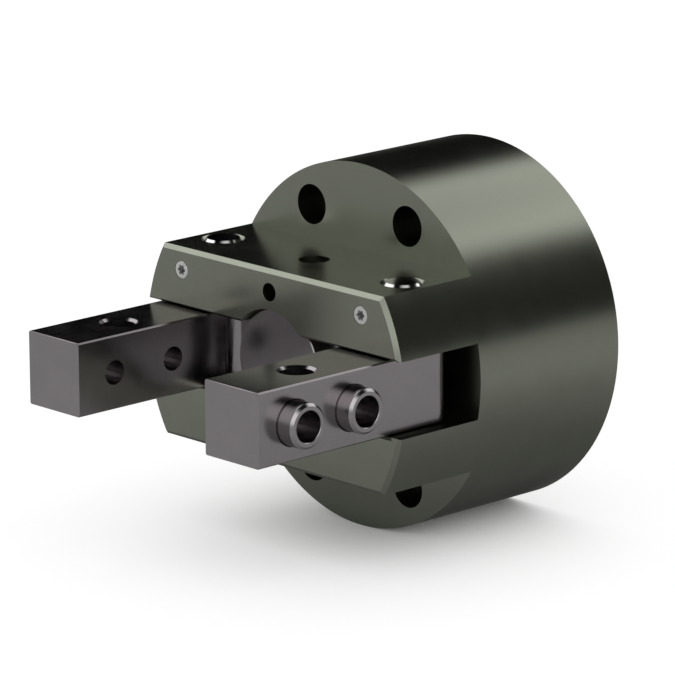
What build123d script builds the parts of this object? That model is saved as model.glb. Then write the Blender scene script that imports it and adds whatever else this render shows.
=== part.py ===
"""Round-bodied angular gripper with two jaws, driven by one air piston.

The gripper's axis lies along Y. Its rear mounting face is the plane y = 0,
the fingers point along -Y and the pivot pins stand along Z. Every "depth"
below is a distance forward from the rear face, in millimetres.
"""

import os

from build123d import *

os.makedirs("parts", exist_ok=True)

# Housing
body_diameter = 50.0
body_length = 40.3
flange_length = 24.0
block_height = 26.5
slot_height = 10.3
slot_depth = 26.0
head_bore_diameter = 15.6
front_chamfer = 0.55
slot_chamfer = 0.35

# Screw pattern that carries the gripper, with two locating holes: walls left at the body's edge
mount_spacing_x = 18.4
mount_hole_diameter = 5.5
mount_hole_wall = 2.12
locating_hole_diameter = 4.0
locating_hole_wall = 3.0
locating_hole_length = 5.0

# Pivots of the jaws, in front of the slot's rear wall
pivot_x = 17.35
pivot_offset = 6.7
pin_diameter = 5.0
pin_hole_chamfer = 0.45
pin_end_chamfer = 0.5
pin_recess = 0.1

# Screws that clamp the pins, and the sensor bore with its own clamp hole
clamp_height = 10.2
set_screw_diameter = 3.0
set_screw_chamfer = 0.2
set_screw_recess = 0.05
set_screw_socket = 1.5
set_screw_lobe_radius = 0.24
set_screw_socket_length = 1.6
sensor_bore_diameter = 4.2
sensor_offset = 6.2
sensor_clamp_diameter = 2.5

# Fingers, levers and noses of the jaws
finger_width = 10.0
finger_depth = 62.8
finger_edge_chamfer = 0.2
tail_length = 4.0
tail_corner_radius = 2.5
nose_radius = 3.0
nose_x = 6.6
lever_thickness = 4.9
lever_blend_radius = 3.8
lever_root_margin = 0.4

# Tool holes of the fingers, about a middle set back from the fingertip, with centring sleeves
tool_hole_setback = 11.3
tool_hole_pitch = 10.2
tool_thread_diameter = 3.3
cross_hole_diameter = 4.5
cross_hole_chamfer = 0.35
sleeve_diameter = 6.0
sleeve_bore_diameter = 4.2
sleeve_seat_length = 2.3
sleeve_stand_out = 2.7
sleeve_chamfer = 0.35

# Plunger: a rod with a grooved head, which stands off the slot's rear wall
rod_diameter = 8.0
head_diameter = 15.2
head_front_length = 3.04
head_rear_gap = 0.9
head_chamfer = 0.3
neck_diameter = 6.4
spigot_diameter = 6.0
spigot_length = 4.4

# Cylinder, piston and bumpers
cylinder_diameter = 28.0
piston_depth = 8.25
piston_length = 7.0
piston_edge_chamfer = 0.4
piston_seal_offset = 1.0
piston_seal_width = 2.2
piston_seal_height = 1.9
guide_ring_offset = 4.1
guide_ring_width = 2.0
guide_ring_height = 1.0
joint_seal_offset = 4.2
joint_seal_width = 1.2
joint_seal_height = 0.9
bumper_outer_diameter = 23.0
bumper_inner_diameter = 17.0
bumper_stand_out = 1.0
bumper_seat_length = 0.8

# Screw that holds the piston on the rod
piston_screw_diameter = 4.0
piston_screw_head_diameter = 7.0
piston_screw_head_length = 2.2
piston_screw_thread_length = 9.0
piston_screw_socket = 2.5
piston_screw_socket_length = 1.4

# Rod bushing and rod seal in the wall between the slot and the cylinder
bushing_wall = 1.0
bushing_length = 3.4
rod_seal_shoulder = 0.4
rod_seal_width = 1.6
rod_seal_height = 1.2
lip_notch_length = 0.4
cylinder_end_wall = 1.1

# Rear cover, its seal and the retaining ring
cover_diameter = 30.0
cover_depth = 2.1
cover_length = 4.4
cover_seal_offset = 1.1
cover_seal_width = 2.2
cover_seal_height = 1.6
pull_hole_diameter = 2.5
pull_hole_spacing = 14.0
pull_hole_length = 2.5
ring_groove_diameter = 31.2
ring_thickness = 1.2
ring_radial_width = 2.1
ring_gap_width = 9.0
ring_eye_diameter = 5.0
ring_eye_hole_diameter = 1.7

# Air ports on the side of the housing
port_thread_diameter = 5.0
port_thread_length = 5.5
port_spot_diameter = 8.5
port_spot_depth = 0.5
port_channel_diameter = 1.6
port_inset = 1.0

# Clearances
turning_clearance = 0.03
sliding_clearance = 0.04
guide_clearance = 0.08
seated_clearance = 0.01
nose_clearance = 0.06
jaw_side_clearance = 0.15
ring_clearance = 0.05
screw_clearance = 0.02
sleeve_clearance = 0.01

# Values worked out from the sizes above
body_radius = body_diameter / 2
mount_circle_radius = body_radius - mount_hole_wall - mount_hole_diameter / 2
mount_spacing_z = 2 * (mount_circle_radius**2 - (mount_spacing_x / 2) ** 2) ** 0.5
locating_hole_spacing = 2 * (body_radius - locating_hole_wall) - locating_hole_diameter
pivot_depth = slot_depth + pivot_offset
sensor_depth = slot_depth + sensor_offset
tool_hole_depth = finger_depth - tool_hole_setback
jaw_height = slot_height - 2 * jaw_side_clearance
groove_width = 2 * (nose_radius + nose_clearance)
groove_front_depth = pivot_depth + groove_width / 2
groove_rear_depth = pivot_depth - groove_width / 2
head_front_depth = groove_front_depth + head_front_length
head_rear_depth = slot_depth + head_rear_gap
bushing_diameter = rod_diameter + 2 * sliding_clearance + 2 * bushing_wall
bushing_depth = slot_depth - bushing_length
rod_seal_depth = bushing_depth - rod_seal_shoulder - rod_seal_width
cylinder_radius = cylinder_diameter / 2
cylinder_end_depth = rod_seal_depth - cylinder_end_wall
cover_front_depth = cover_depth + cover_length
piston_front_depth = piston_depth + piston_length
port_depths = (cover_front_depth + port_inset, cylinder_end_depth - port_inset)

# Plane of the turned profiles: first axis forward from the rear face, second axis outward
section = Plane(origin=(0, 0, 0), x_dir=(0, -1, 0), z_dir=(0, 0, 1))


def export_piece(builder, label):
    """Name a finished piece and write it under the same name."""
    builder.part.label = label
    export_step(builder.part, f"parts/{label}.step")


def band_profile(start, width, inner_radius, outer_radius):
    """Draw the square section of a ring or groove that starts at a depth."""
    with Locations((start + width / 2, (inner_radius + outer_radius) / 2)):
        Rectangle(width, outer_radius - inner_radius)


def lip_profile(start, width, inner_radius, outer_radius):
    """Draw the section of a ring with a notch between the two lips on each of its sides."""
    end = start + width
    middle_radius = (inner_radius + outer_radius) / 2
    Polygon(
        (start, inner_radius),
        (end, inner_radius),
        (end - lip_notch_length, middle_radius),
        (end, outer_radius),
        (start, outer_radius),
        (start + lip_notch_length, middle_radius),
        align=None,
    )


def hexalobular_socket(across, lobe_radius, lobes=6):
    """Draw a six-lobed key socket of the given outer width."""
    Circle(across / 2 - lobe_radius)
    with PolarLocations(across / 2 - lobe_radius, lobes):
        Circle(lobe_radius)


# Housing: a turned body whose front is milled to a block with one wide slot
with BuildPart() as housing:
    with BuildSketch(Plane.XZ):
        Circle(body_radius)
    extrude(amount=flange_length)
    with BuildSketch(Plane.XZ.offset(flange_length)):
        Circle(body_radius)
        Rectangle(body_diameter, block_height, mode=Mode.INTERSECT)
    extrude(amount=body_length - flange_length)
    front_face = housing.faces().sort_by(Axis.Y)[0]
    chamfer(front_face.edges(), length=front_chamfer)

    # Slot for the jaws, open to the front and to both sides
    with BuildSketch(Plane.XZ.offset(slot_depth)):
        Rectangle(body_diameter * 2, slot_height)
    extrude(amount=body_length, mode=Mode.SUBTRACT)
    slot_front_edges = (
        housing.edges()
        .filter_by(Axis.X)
        .filter_by(lambda edge: abs(abs(edge.center().Z) - slot_height / 2) < 0.001)
        .sort_by(Axis.Y)[:2]
    )
    chamfer(slot_front_edges, length=slot_chamfer)

    # Bore that guides the plunger's head
    with BuildSketch(Plane.XZ.offset(slot_depth)):
        Circle(head_bore_diameter / 2)
    extrude(amount=body_length, mode=Mode.SUBTRACT)

    # Cover seat, ring groove and cylinder, bored from the rear
    with BuildSketch(Plane.XZ):
        Circle(cover_diameter / 2)
    extrude(amount=cover_front_depth, mode=Mode.SUBTRACT)
    with BuildSketch(Plane.XZ.offset(cover_depth - ring_thickness - 2 * ring_clearance)):
        Circle(ring_groove_diameter / 2)
    extrude(amount=ring_thickness + 2 * ring_clearance, mode=Mode.SUBTRACT)
    with BuildSketch(Plane.XZ.offset(cover_front_depth)):
        Circle(cylinder_radius)
    extrude(amount=cylinder_end_depth - cover_front_depth, mode=Mode.SUBTRACT)

    # Seat of the front bumper, groove of the rod seal, rod bore and bushing seat
    with BuildSketch(Plane.XZ.offset(cylinder_end_depth)):
        Circle(bumper_outer_diameter / 2 + seated_clearance)
        Circle(bumper_inner_diameter / 2 - seated_clearance, mode=Mode.SUBTRACT)
    extrude(amount=bumper_seat_length, mode=Mode.SUBTRACT)
    with BuildSketch(Plane.XZ.offset(cylinder_end_depth)):
        Circle(rod_diameter / 2 + guide_clearance)
    extrude(amount=slot_depth - cylinder_end_depth, mode=Mode.SUBTRACT)
    with BuildSketch(Plane.XZ.offset(rod_seal_depth)):
        Circle(rod_diameter / 2 + rod_seal_height + 2 * seated_clearance)
    extrude(amount=rod_seal_width, mode=Mode.SUBTRACT)
    with BuildSketch(Plane.XZ.offset(bushing_depth)):
        Circle(bushing_diameter / 2 + seated_clearance)
    extrude(amount=bushing_length, mode=Mode.SUBTRACT)

    # Four screw holes and two locating holes of the rear face
    with BuildSketch(Plane.XZ):
        with GridLocations(mount_spacing_x, mount_spacing_z, 2, 2):
            Circle(mount_hole_diameter / 2)
    extrude(amount=flange_length, mode=Mode.SUBTRACT)
    with BuildSketch(Plane.XZ):
        with GridLocations(0, locating_hole_spacing, 1, 2):
            Circle(locating_hole_diameter / 2)
    extrude(amount=locating_hole_length, mode=Mode.SUBTRACT)

    # Pin holes through both cheeks of the block, countersunk at the flats
    with BuildSketch(Plane.XY):
        with Locations((-pivot_x, -pivot_depth), (pivot_x, -pivot_depth)):
            Circle(pin_diameter / 2 + seated_clearance)
    extrude(amount=block_height, both=True, mode=Mode.SUBTRACT)
    pin_hole_rims = (
        housing.edges()
        .filter_by(GeomType.CIRCLE)
        .filter_by(lambda edge: abs(abs(edge.center().Z) - block_height / 2) < 0.001)
    )
    chamfer(pin_hole_rims, length=pin_hole_chamfer)

    # Sensor bore in the upper cheek, with its clamp hole from the front
    with BuildSketch(Plane.XY):
        with Locations((0, -sensor_depth)):
            Circle(sensor_bore_diameter / 2)
    extrude(amount=block_height, mode=Mode.SUBTRACT)
    with BuildSketch(Plane.XZ.offset(sensor_depth)):
        with Locations((0, clamp_height)):
            Circle(sensor_clamp_diameter / 2)
    extrude(amount=body_length, mode=Mode.SUBTRACT)

    # Threaded holes of the two screws that clamp the pins
    with BuildSketch(Plane.XZ.offset(pivot_depth)):
        with Locations((-pivot_x, clamp_height), (pivot_x, clamp_height)):
            Circle(set_screw_diameter / 2 + screw_clearance)
    extrude(amount=body_length, mode=Mode.SUBTRACT)

    # Air ports on the left side, each with a narrow channel to its end of the cylinder
    for port_depth in port_depths:
        with BuildSketch(Plane.YZ.offset(-body_radius - port_spot_depth)):
            with Locations((-port_depth, 0)):
                Circle(port_spot_diameter / 2)
        extrude(amount=2 * port_spot_depth, mode=Mode.SUBTRACT)
        with BuildSketch(Plane.YZ.offset(-body_radius)):
            with Locations((-port_depth, 0)):
                Circle(port_thread_diameter / 2)
        extrude(amount=port_spot_depth + port_thread_length, mode=Mode.SUBTRACT)
        with BuildSketch(Plane.YZ.offset(-body_radius)):
            with Locations((-port_depth, 0)):
                Circle(port_channel_diameter / 2)
        extrude(amount=body_radius - cylinder_radius + port_channel_diameter, mode=Mode.SUBTRACT)
export_piece(housing, "housing")

# Pivot pins: one per jaw, clamped in the housing
with BuildPart() as pivot_pins:
    with BuildSketch(Plane.XY):
        with Locations((-pivot_x, -pivot_depth), (pivot_x, -pivot_depth)):
            Circle(pin_diameter / 2)
    extrude(amount=block_height / 2 - pin_recess, both=True)
    chamfer(pivot_pins.edges().filter_by(GeomType.CIRCLE), length=pin_end_chamfer)
export_piece(pivot_pins, "pivot_pins")

# Set screws that clamp the pins from the front face
set_screw_tip_depth = pivot_depth + pin_diameter / 2 + seated_clearance
set_screw_end_depth = body_length - set_screw_recess
with BuildPart() as pin_set_screws:
    with BuildSketch(Plane.XZ.offset(set_screw_tip_depth)):
        with Locations((-pivot_x, clamp_height), (pivot_x, clamp_height)):
            Circle(set_screw_diameter / 2)
    extrude(amount=set_screw_end_depth - set_screw_tip_depth)
    chamfer(pin_set_screws.edges().filter_by(GeomType.CIRCLE), length=set_screw_chamfer)
    with BuildSketch(Plane.XZ.offset(set_screw_end_depth)):
        with Locations((-pivot_x, clamp_height), (pivot_x, clamp_height)):
            hexalobular_socket(set_screw_socket, set_screw_lobe_radius)
    extrude(amount=-set_screw_socket_length, mode=Mode.SUBTRACT)
export_piece(pin_set_screws, "pin_set_screws")

# Jaws and their centring sleeves, one set per side
finger_outer = pivot_x + finger_width / 2
finger_inner = pivot_x - finger_width / 2
tail_depth = pivot_depth - tail_length
root_depth = pivot_depth + lever_thickness / 2 + lever_blend_radius + lever_root_margin
tool_hole_depths = (tool_hole_depth - tool_hole_pitch / 2, tool_hole_depth + tool_hole_pitch / 2)
for side, side_name in ((-1, "left"), (1, "right")):
    with BuildPart() as jaw:
        with BuildSketch(Plane.XY.offset(-jaw_height / 2)) as finger_outline:
            with Locations((side * pivot_x, -(finger_depth + tail_depth) / 2)):
                Rectangle(finger_width, finger_depth - tail_depth)
            tail_corner = finger_outline.vertices().sort_by_distance(
                (side * finger_outer, -tail_depth, 0)
            )[0]
            fillet(tail_corner, radius=tail_corner_radius)
        extrude(amount=jaw_height)
        chamfer(jaw.edges().filter_by(Axis.Y), length=finger_edge_chamfer)

        # Lever that reaches in to the plunger, blended into the finger's inner side
        with BuildSketch(Plane.XY.offset(-jaw_height / 2)) as lever_outline:
            with Locations((side * (nose_x + pivot_x) / 2, -pivot_depth)):
                Rectangle(pivot_x - nose_x, lever_thickness)
            with Locations((side * nose_x, -pivot_depth)):
                Circle(nose_radius)
            with Locations((side * (finger_inner + pivot_x) / 2, -(root_depth + pivot_depth) / 2)):
                Rectangle(pivot_x - finger_inner, root_depth - pivot_depth)
            blend_corner = lever_outline.vertices().sort_by_distance(
                (side * finger_inner, -pivot_depth - lever_thickness / 2, 0)
            )[0]
            fillet(blend_corner, radius=lever_blend_radius)
        extrude(amount=jaw_height)

        # Pivot hole and the cross hole of the finger
        with BuildSketch(Plane.XY):
            with Locations((side * pivot_x, -pivot_depth)):
                Circle(pin_diameter / 2 + turning_clearance)
        extrude(amount=jaw_height, both=True, mode=Mode.SUBTRACT)
        with BuildSketch(Plane.XY):
            with Locations((side * pivot_x, -tool_hole_depth)):
                Circle(cross_hole_diameter / 2)
        extrude(amount=jaw_height, both=True, mode=Mode.SUBTRACT)
        cross_hole_rims = (
            jaw.edges()
            .filter_by(GeomType.CIRCLE)
            .group_by(Axis.Y)[0]
        )
        chamfer(cross_hole_rims, length=cross_hole_chamfer)

        # Threaded tool holes across the finger, with sleeve seats on its outer side
        for depth in tool_hole_depths:
            with BuildSketch(Plane.YZ.offset(side * pivot_x)):
                with Locations((-depth, 0)):
                    Circle(tool_thread_diameter / 2)
            extrude(amount=finger_width, both=True, mode=Mode.SUBTRACT)
            with BuildSketch(Plane.YZ.offset(side * finger_outer)):
                with Locations((-depth, 0)):
                    Circle(sleeve_diameter / 2 + sleeve_clearance)
            extrude(amount=-side * sleeve_seat_length, mode=Mode.SUBTRACT)
    export_piece(jaw, f"jaw_{side_name}")

    with BuildPart() as sleeves:
        with BuildSketch(Plane.YZ.offset(side * (finger_outer - sleeve_seat_length))):
            with Locations(*[(-depth, 0) for depth in tool_hole_depths]):
                Circle(sleeve_diameter / 2)
                Circle(sleeve_bore_diameter / 2, mode=Mode.SUBTRACT)
        extrude(amount=side * (sleeve_seat_length + sleeve_stand_out))
        sleeve_rims = (
            sleeves.edges()
            .filter_by(GeomType.CIRCLE)
            .filter_by(lambda edge: abs(edge.radius - sleeve_diameter / 2) < 0.001)
        )
        chamfer(sleeve_rims, length=sleeve_chamfer)
    export_piece(sleeves, f"sleeves_{side_name}")

# Plunger: rod, grooved head and the spigot that centres the piston
with BuildPart() as plunger:
    with BuildSketch(Plane.XZ.offset(piston_front_depth - spigot_length)):
        Circle(spigot_diameter / 2)
    extrude(amount=spigot_length)
    with BuildSketch(Plane.XZ.offset(piston_front_depth)):
        Circle(rod_diameter / 2)
    extrude(amount=head_rear_depth - piston_front_depth)
    with BuildSketch(Plane.XZ.offset(head_rear_depth)):
        Circle(head_diameter / 2)
    extrude(amount=groove_rear_depth - head_rear_depth)
    with BuildSketch(Plane.XZ.offset(groove_rear_depth)):
        Circle(neck_diameter / 2)
    extrude(amount=groove_width)
    with BuildSketch(Plane.XZ.offset(groove_front_depth)):
        Circle(head_diameter / 2)
    extrude(amount=head_front_depth - groove_front_depth)
    head_rims = (
        plunger.edges()
        .filter_by(GeomType.CIRCLE)
        .filter_by(lambda edge: abs(edge.radius - head_diameter / 2) < 0.001)
    )
    chamfer(head_rims, length=head_chamfer)
    with BuildSketch(Plane.XZ.offset(piston_front_depth - spigot_length)):
        Circle(piston_screw_diameter / 2 + screw_clearance)
    extrude(amount=piston_screw_thread_length + screw_clearance, mode=Mode.SUBTRACT)
export_piece(plunger, "plunger")

# Piston, with grooves for its seal and guide ring and a seat for the screw head
piston_radius = cylinder_radius - guide_clearance
screw_seat_depth = piston_front_depth - spigot_length
with BuildPart() as piston:
    with BuildSketch(Plane.XZ.offset(piston_depth)):
        Circle(piston_radius)
    extrude(amount=piston_length)
    chamfer(piston.edges().filter_by(GeomType.CIRCLE), length=piston_edge_chamfer)
    with BuildSketch(Plane.XZ.offset(piston_depth)):
        Circle(spigot_diameter / 2 + seated_clearance)
    extrude(amount=piston_length, mode=Mode.SUBTRACT)
    with BuildSketch(Plane.XZ.offset(piston_depth)):
        Circle(piston_screw_head_diameter / 2 + screw_clearance)
    extrude(amount=screw_seat_depth - piston_depth, mode=Mode.SUBTRACT)
    with BuildSketch(section):
        band_profile(
            piston_depth + piston_seal_offset,
            piston_seal_width,
            cylinder_radius - piston_seal_height,
            cylinder_radius,
        )
        band_profile(
            piston_depth + guide_ring_offset,
            guide_ring_width,
            cylinder_radius - guide_ring_height,
            cylinder_radius,
        )
        band_profile(
            piston_depth + joint_seal_offset,
            joint_seal_width,
            0,
            spigot_diameter / 2 + joint_seal_height,
        )
    revolve(axis=Axis.Y, mode=Mode.SUBTRACT)
export_piece(piston, "piston")

# Guide ring of the piston: a flat plastic band in its groove
with BuildPart() as piston_guide_ring:
    with BuildSketch(section):
        band_profile(
            piston_depth + guide_ring_offset + seated_clearance,
            guide_ring_width - 2 * seated_clearance,
            cylinder_radius - guide_ring_height + seated_clearance,
            cylinder_radius - seated_clearance,
        )
    revolve(axis=Axis.Y)
export_piece(piston_guide_ring, "piston_guide_ring")

# Lip seals of the moving piston and rod: name, start, width, inner radius and height of the groove
lip_seals = (
    (
        "piston_seal",
        piston_depth + piston_seal_offset,
        piston_seal_width,
        cylinder_radius - piston_seal_height,
        piston_seal_height,
    ),
    (
        "rod_seal",
        rod_seal_depth,
        rod_seal_width,
        rod_diameter / 2,
        rod_seal_height,
    ),
)
for label, start, width, inner_radius, height in lip_seals:
    with BuildPart() as lip_seal:
        with BuildSketch(section):
            lip_profile(
                start + seated_clearance,
                width - 2 * seated_clearance,
                inner_radius + seated_clearance,
                inner_radius + height - seated_clearance,
            )
        revolve(axis=Axis.Y)
    export_piece(lip_seal, label)

# Round seals of the fixed joints, in the middle of their grooves: values as for the lip seals
round_seals = (
    (
        "piston_joint_seal",
        piston_depth + joint_seal_offset,
        joint_seal_width,
        spigot_diameter / 2,
        joint_seal_height,
    ),
    (
        "cover_seal",
        cover_depth + cover_seal_offset,
        cover_seal_width,
        cover_diameter / 2 - cover_seal_height,
        cover_seal_height,
    ),
)
for label, start, width, inner_radius, height in round_seals:
    with BuildPart() as round_seal:
        with BuildSketch(section):
            with Locations((start + width / 2, inner_radius + height / 2)):
                Circle(height / 2 - seated_clearance)
        revolve(axis=Axis.Y)
    export_piece(round_seal, label)

# Screw that holds the piston against the rod's shoulder
screw_head_depth = screw_seat_depth - piston_screw_head_length
with BuildPart() as piston_screw:
    with BuildSketch(Plane.XZ.offset(screw_head_depth)):
        Circle(piston_screw_head_diameter / 2)
    extrude(amount=piston_screw_head_length)
    with BuildSketch(Plane.XZ.offset(screw_seat_depth)):
        Circle(piston_screw_diameter / 2)
    extrude(amount=piston_screw_thread_length)
    with BuildSketch(Plane.XZ.offset(screw_head_depth)):
        RegularPolygon(piston_screw_socket / 2, 6, major_radius=False)
    extrude(amount=piston_screw_socket_length, mode=Mode.SUBTRACT)
export_piece(piston_screw, "piston_screw")

# Bushing that guides the rod
with BuildPart() as rod_bushing:
    with BuildSketch(Plane.XZ.offset(bushing_depth)):
        Circle(bushing_diameter / 2)
        Circle(rod_diameter / 2 + sliding_clearance, mode=Mode.SUBTRACT)
    extrude(amount=bushing_length)
export_piece(rod_bushing, "rod_bushing")

# Bumper rings: the front one sits in the housing, the rear one in the cover
bumper_length = bumper_seat_length + bumper_stand_out
bumper_starts = (
    ("front_bumper", cylinder_end_depth - bumper_stand_out),
    ("rear_bumper", cover_front_depth - bumper_seat_length),
)
for label, start in bumper_starts:
    with BuildPart() as bumper:
        with BuildSketch(Plane.XZ.offset(start)):
            Circle(bumper_outer_diameter / 2)
            Circle(bumper_inner_diameter / 2, mode=Mode.SUBTRACT)
        extrude(amount=bumper_length)
    export_piece(bumper, label)

# Rear cover, with its seal groove, the rear bumper's seat and two pull holes
with BuildPart() as rear_cover:
    with BuildSketch(Plane.XZ.offset(cover_depth)):
        Circle(cover_diameter / 2 - seated_clearance)
    extrude(amount=cover_length)
    with BuildSketch(Plane.XZ.offset(cover_front_depth)):
        Circle(bumper_outer_diameter / 2 + seated_clearance)
        Circle(bumper_inner_diameter / 2 - seated_clearance, mode=Mode.SUBTRACT)
    extrude(amount=-bumper_seat_length, mode=Mode.SUBTRACT)
    with BuildSketch(Plane.XZ.offset(cover_depth)):
        with GridLocations(pull_hole_spacing, 0, 2, 1):
            Circle(pull_hole_diameter / 2)
    extrude(amount=pull_hole_length, mode=Mode.SUBTRACT)
    with BuildSketch(section):
        band_profile(
            cover_depth + cover_seal_offset,
            cover_seal_width,
            cover_diameter / 2 - cover_seal_height,
            cover_diameter / 2,
        )
    revolve(axis=Axis.Y, mode=Mode.SUBTRACT)
export_piece(rear_cover, "rear_cover")

# Retaining ring: an open ring with two plier eyes, sprung into its groove
ring_outer_radius = ring_groove_diameter / 2 - ring_clearance
ring_inner_radius = ring_outer_radius - ring_radial_width
eye_x = ring_gap_width / 2 + ring_eye_diameter / 2
eye_circle_radius = ring_outer_radius - ring_eye_diameter / 2
eye_z = -((eye_circle_radius**2 - eye_x**2) ** 0.5)
with BuildPart() as retaining_ring:
    with BuildSketch(Plane.XZ.offset(cover_depth - ring_thickness - ring_clearance)):
        Circle(ring_outer_radius)
        Circle(ring_inner_radius, mode=Mode.SUBTRACT)
        with Locations((-eye_x, eye_z), (eye_x, eye_z)):
            Circle(ring_eye_diameter / 2)
        with Locations((0, -ring_outer_radius)):
            Rectangle(ring_gap_width, ring_outer_radius, mode=Mode.SUBTRACT)
        with Locations((-eye_x, eye_z), (eye_x, eye_z)):
            Circle(ring_eye_hole_diameter / 2, mode=Mode.SUBTRACT)
    extrude(amount=ring_thickness)
export_piece(retaining_ring, "retaining_ring")
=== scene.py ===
"""Studio scene of a round-bodied angular gripper with two jaws.

The gripper's axis lies along Y, with its rear mounting face at y = 0 and its
fingers towards -Y. The pivot pins stand along Z. Sizes in the classes are in
millimetres where nothing else is said, and a "depth" is a distance forward from
the rear face.
"""

import logging
import math
from dataclasses import dataclass
from enum import Enum
from typing import Callable, Sequence

import bmesh
import bpy
from mathutils import Matrix, Vector


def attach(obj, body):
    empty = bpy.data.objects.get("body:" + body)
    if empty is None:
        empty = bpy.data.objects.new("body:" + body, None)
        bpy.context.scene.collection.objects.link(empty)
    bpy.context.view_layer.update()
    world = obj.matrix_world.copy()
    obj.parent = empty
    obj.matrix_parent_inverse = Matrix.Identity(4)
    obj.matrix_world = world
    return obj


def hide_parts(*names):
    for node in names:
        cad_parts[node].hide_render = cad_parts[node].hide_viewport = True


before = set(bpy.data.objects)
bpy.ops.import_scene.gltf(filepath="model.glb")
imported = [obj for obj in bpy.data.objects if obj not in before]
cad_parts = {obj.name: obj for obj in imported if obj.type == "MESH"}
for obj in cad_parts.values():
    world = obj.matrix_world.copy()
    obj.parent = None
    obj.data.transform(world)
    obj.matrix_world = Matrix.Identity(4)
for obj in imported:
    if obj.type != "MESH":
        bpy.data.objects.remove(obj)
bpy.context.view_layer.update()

log = logging.getLogger("gripper")

Piece = bpy.types.Object
Material = bpy.types.Material
Socket = bpy.types.NodeSocket
Pair = tuple[float, float]

MM = 0.001
SIDES = ((-1, "left"), (1, "right"))

# Places that several pieces share, in millimetres
PIVOT_X = 17.35
PIVOT_DEPTH = 32.7
CLAMP_Z = 10.2
BUMPER_SEAT_LENGTH = 0.8
BUMPER_SEAT_RADII = (8.49, 11.51)

# How far a cutter stands past the surface that it cuts, in millimetres
PAST = 1.0
# Points nearer to each other than this are merged, in millimetres
MERGED = 0.0005
# Edges shorter than this are dissolved, in millimetres
SLIVER = 0.0002
# Points this near to a plane lie on it, in millimetres
NEAR = 0.01
# Most values of a noise texture lie between these two
NOISE_LOW = 0.3
NOISE_HIGH = 0.7


class Direction(Enum):
    """Axis that a piece is turned about or a hole is drilled along, with its letter."""

    ACROSS = "X"
    FORWARD = "Y"
    UP = "Z"

    @property
    def vector(self) -> Vector:
        """Unit vector of the axis."""
        return {
            Direction.ACROSS: Vector((1.0, 0.0, 0.0)),
            Direction.FORWARD: Vector((0.0, -1.0, 0.0)),
            Direction.UP: Vector((0.0, 0.0, 1.0)),
        }[self]

    @property
    def turn(self) -> tuple[float, float, float]:
        """Rotation that lays a flat circle square to the axis."""
        return {
            Direction.ACROSS: (0.0, math.pi / 2, 0.0),
            Direction.FORWARD: (math.pi / 2, 0.0, 0.0),
            Direction.UP: (0.0, 0.0, 0.0),
        }[self]


class Machining(Enum):
    """What a tool body does to a piece, with the name of its boolean operation."""

    JOIN = "UNION"
    CUT = "DIFFERENCE"


class Marks(Enum):
    """What a tool or a mould left on a surface."""

    TURNED = "rings about the gripper's axis"
    GROUND = "fine lines along the fingers"
    RINGED_ACROSS = "rings about an axis across the jaws"
    RINGED_UP = "rings about an axis along the pins"
    GRAINED = "even fine grain"


def clear_selection() -> None:
    """Leave nothing selected."""
    bpy.ops.object.select_all(action="DESELECT")


def pick(piece: Piece) -> None:
    """Make one object the only selected and the active one.

    Args:
        piece: The object.
    """
    clear_selection()
    piece.select_set(True)
    bpy.context.view_layer.objects.active = piece


def point(x: float, depth: float, z: float) -> Vector:
    """Place in metres of a point given in millimetres, with its depth from the rear face."""
    return Vector((x, -depth, z)) * MM


def turned(
    name: str,
    direction: Direction,
    foot: Vector,
    profile: Sequence[Pair],
    sides: int = 96,
    ring: bool = False,
    twist: float = 0.61,
) -> Piece:
    """Model a turned piece, one extrusion for each step of its profile.

    Args:
        name: Name of the new object.
        direction: Axis that the piece is turned about.
        foot: Point on that axis, in metres, from which the profile's distances count.
        profile: Distance along the axis and radius of each step, in millimetres.
        sides: Number of sides of the circles.
        ring: True where the profile closes on itself round an open bore.
        twist: Angle, in degrees, that keeps its corners off those of the pieces it meets.

    Returns:
        The piece, at the origin, with its place in its mesh.
    """
    steps = list(profile) + ([profile[0]] if ring else [])
    clear_selection()
    bpy.ops.mesh.primitive_circle_add(
        vertices=sides,
        radius=steps[0][1] * MM,
        fill_type="NOTHING" if ring else "NGON",
        location=foot + direction.vector * steps[0][0] * MM,
        rotation=direction.turn,
    )
    piece = bpy.context.object
    piece.name = name
    bpy.ops.object.transform_apply(location=True, rotation=True, scale=True)
    bpy.ops.object.mode_set(mode="EDIT")
    bpy.ops.mesh.select_mode(type="EDGE" if ring else "FACE")
    bpy.ops.mesh.select_all(action="SELECT")
    bpy.ops.transform.rotate(
        value=math.radians(twist), orient_axis=direction.value, center_override=foot
    )
    along = direction.vector
    for (last_distance, last_radius), (distance, radius) in zip(steps, steps[1:]):
        bpy.ops.mesh.extrude_region_move(
            TRANSFORM_OT_translate={"value": along * (distance - last_distance) * MM}
        )
        bpy.ops.transform.resize(
            value=[1.0 if part else radius / last_radius for part in along],
            center_override=foot + along * distance * MM,
        )
    bpy.ops.mesh.select_all(action="SELECT")
    bpy.ops.mesh.remove_doubles(threshold=MERGED * MM)
    bpy.ops.mesh.normals_make_consistent(inside=False)
    bpy.ops.object.mode_set(mode="OBJECT")
    return piece


def block(name: str, low: Vector, high: Vector) -> Piece:
    """Add a box between two corners.

    Args:
        name: Name of the new object.
        low: Lowest corner, in metres.
        high: Highest corner, in metres.

    Returns:
        The box, at the origin, with its place in its mesh.
    """
    clear_selection()
    bpy.ops.mesh.primitive_cube_add(size=1.0, location=(low + high) / 2, scale=high - low)
    piece = bpy.context.object
    piece.name = name
    bpy.ops.object.transform_apply(location=True, rotation=True, scale=True)
    return piece


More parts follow.
